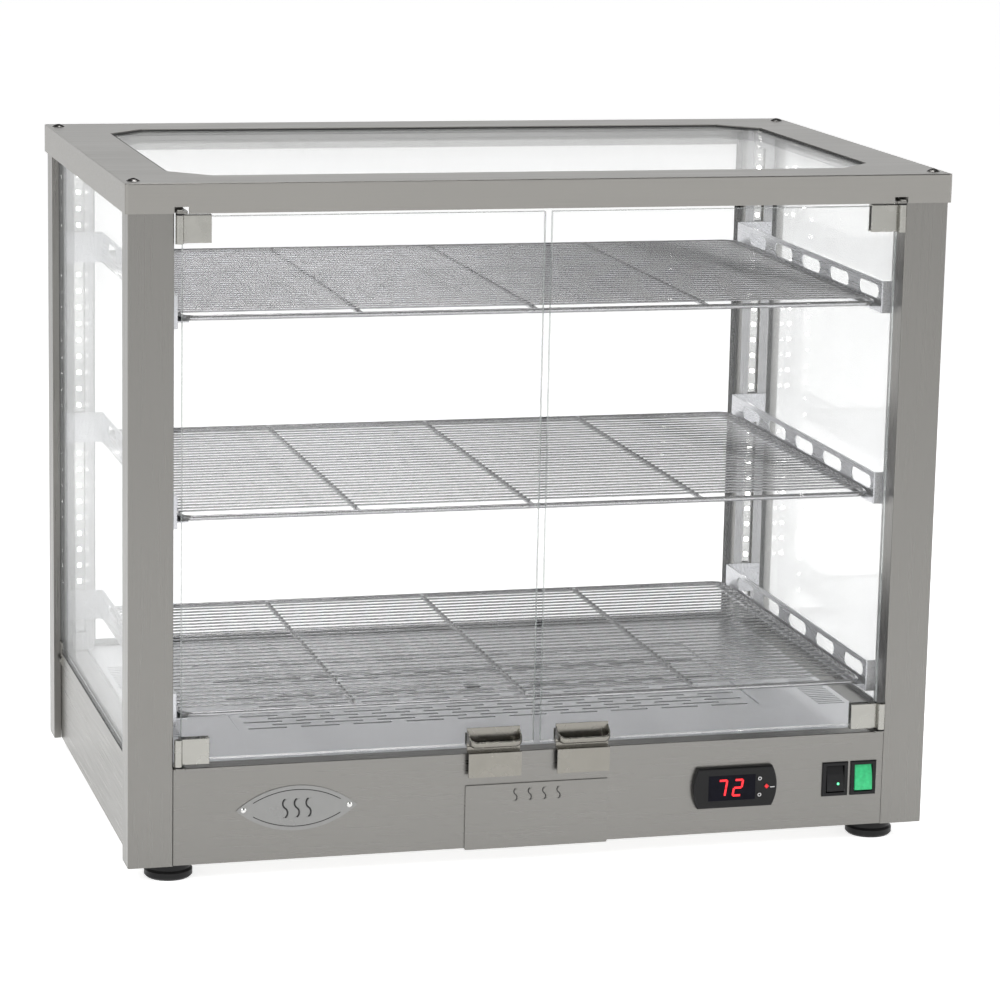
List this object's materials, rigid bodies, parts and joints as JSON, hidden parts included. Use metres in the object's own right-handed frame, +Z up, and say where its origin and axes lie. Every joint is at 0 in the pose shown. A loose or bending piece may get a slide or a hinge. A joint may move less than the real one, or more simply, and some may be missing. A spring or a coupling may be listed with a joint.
{
  "type": "hot food display case",
  "caption": "Countertop heated display cabinet: stainless frame, glass on all sides and top, hinged glass doors, wire shelves on slotted rails, heated base with water drawer",
  "frame": {"origin": "on the floor under the middle of the cabinet", "axes": "+X to the right along the width, +Y to the back, +Z up"},
  "size_m": [0.78, 0.512, 0.6483],
  "materials": {
    "steel": "fine brushed stainless steel, satin",
    "cap_steel": "brushed stainless steel, bright satin",
    "deck_steel": "fine brushed stainless steel, cool satin",
    "polished_steel": "polished stainless steel",
    "chrome": "bright chrome plate",
    "glass": "clear toughened glass, polished edges",
    "seal": "matt black silicone",
    "foot": "black moulded rubber",
    "black_plastic": "black moulded plastic, fine texture",
    "window": "dark smoked display window",
    "key_white": "white translucent key",
    "key_red": "red translucent key",
    "green_lens": "translucent green lamp lens",
    "led": "white light strip",
    "magnet": "black magnet block",
    "element": "heat-darkened element sheath",
    "badge": "satin plate with dark grooves"
  },
  "bodies": {
    "cabinet": {"base_front_panel": "steel", "base_back_panel": "steel", "base_left_panel": "steel", "base_right_panel": "steel", "base_bottom_plate": "steel", "floor_deck": "deck_steel", "post_front_left": "steel", "post_front_right": "steel", "post_rear_left": "steel", "post_rear_right": "steel", "front_liner_plates": "deck_steel", "rear_liner_plates": "deck_steel", "led_strips": "led", "top_frame": "cap_steel", "top_glass": "glass", "top_glass_seal": "seal", "top_screws": "polished_steel", "right_side_glass": "glass", "left_side_glass": "glass", "back_glass": "glass", "glass_seals": "seal", "glass_clips": "polished_steel", "hinge_brackets": "steel", "hinge_pins": "polished_steel", "hinge_washers": "black_plastic", "door_magnets": "magnet", "shelf_rails_bottom": "steel", "shelf_rails_middle": "steel", "shelf_rails_top": "steel", "controller_case": "black_plastic", "controller_window": "window", "switch_housings": "black_plastic", "cable_gland": "black_plastic", "heating_element": "element", "fan_housing": "black_plastic", "badge_plate": "badge", "badge_rivets": "polished_steel"},
    "left_door": {"left_door_glass": "glass", "left_door_clamps": "polished_steel", "left_door_handle": "polished_steel"},
    "right_door": {"right_door_glass": "glass", "right_door_clamps": "polished_steel", "right_door_handle": "polished_steel"},
    "top_shelf": {"grid_top": "chrome"},
    "middle_shelf": {"grid_middle": "chrome"},
    "bottom_shelf": {"grid_bottom": "chrome"},
    "floor_insert": {"floor_plate": "deck_steel"},
    "water_drawer": {"drawer_front": "steel", "water_tray": "steel"},
    "main_switch": {"rocker_main": "black_plastic"},
    "light_switch": {"rocker_lights": "green_lens"},
    "up_key": {"button_up": "key_white"},
    "set_key": {"button_set": "key_red"},
    "down_key": {"button_down": "key_white"},
    "fan": {"fan_rotor": "black_plastic"},
    "front_left_foot": {"foot_front_left": "foot"},
    "front_right_foot": {"foot_front_right": "foot"},
    "rear_left_foot": {"foot_rear_left": "foot"},
    "rear_right_foot": {"foot_rear_right": "foot"}
  },
  "joints": [
    {"name": "left_door_hinge", "type": "hinge", "parent": "cabinet", "child": "left_door", "pos_m": [-0.3412, -0.2445, 0.36], "axis": [0, 0, -1], "range_deg": [0, 110]},
    {"name": "right_door_hinge", "type": "hinge", "parent": "cabinet", "child": "right_door", "pos_m": [0.3412, -0.2445, 0.36], "axis": [0, 0, 1], "range_deg": [0, 110]},
    {"name": "top_shelf_lift", "type": "slide", "parent": "cabinet", "child": "top_shelf", "axis": [0, 0, 1], "range_m": [0, 0.05]},
    {"name": "middle_shelf_lift", "type": "slide", "parent": "cabinet", "child": "middle_shelf", "axis": [0, 0, 1], "range_m": [0, 0.05]},
    {"name": "bottom_shelf_lift", "type": "slide", "parent": "cabinet", "child": "bottom_shelf", "axis": [0, 0, 1], "range_m": [0, 0.05]},
    {"name": "floor_insert_lift", "type": "slide", "parent": "cabinet", "child": "floor_insert", "axis": [0, 0, 1], "range_m": [0, 0.03]},
    {"name": "water_drawer_slide", "type": "slide", "parent": "cabinet", "child": "water_drawer", "axis": [0, -1, 0], "range_m": [0, 0.17]},
    {"name": "main_switch_tilt", "type": "hinge", "parent": "cabinet", "child": "main_switch", "pos_m": [0.2973, -0.2405, 0.064], "axis": [1, 0, 0], "range_deg": [0, 20]},
    {"name": "light_switch_tilt", "type": "hinge", "parent": "cabinet", "child": "light_switch", "pos_m": [0.326, -0.2405, 0.064], "axis": [1, 0, 0], "range_deg": [0, 20]},
    {"name": "up_key_press", "type": "slide", "parent": "cabinet", "child": "up_key", "axis": [0, 1, 0], "range_m": [0, 0.0006], "stiffness_N_per_m": 400},
    {"name": "set_key_press", "type": "slide", "parent": "cabinet", "child": "set_key", "axis": [0, 1, 0], "range_m": [0, 0.0006], "stiffness_N_per_m": 400},
    {"name": "down_key_press", "type": "slide", "parent": "cabinet", "child": "down_key", "axis": [0, 1, 0], "range_m": [0, 0.0006], "stiffness_N_per_m": 400},
    {"name": "fan_spin", "type": "hinge", "parent": "cabinet", "child": "fan", "pos_m": [0, 0.12, 0.06], "axis": [0, 0, 1], "continuous": true},
    {"name": "front_left_foot_turn", "type": "hinge", "parent": "cabinet", "child": "front_left_foot", "pos_m": [-0.3448, -0.2135, 0.016], "axis": [0, 0, 1], "continuous": true},
    {"name": "front_right_foot_turn", "type": "hinge", "parent": "cabinet", "child": "front_right_foot", "pos_m": [0.3448, -0.2135, 0.016], "axis": [0, 0, 1], "continuous": true},
    {"name": "rear_left_foot_turn", "type": "hinge", "parent": "cabinet", "child": "rear_left_foot", "pos_m": [-0.3448, 0.2135, 0.016], "axis": [0, 0, 1], "continuous": true},
    {"name": "rear_right_foot_turn", "type": "hinge", "parent": "cabinet", "child": "rear_right_foot", "pos_m": [0.3448, 0.2135, 0.016], "axis": [0, 0, 1], "continuous": true}
  ]
}
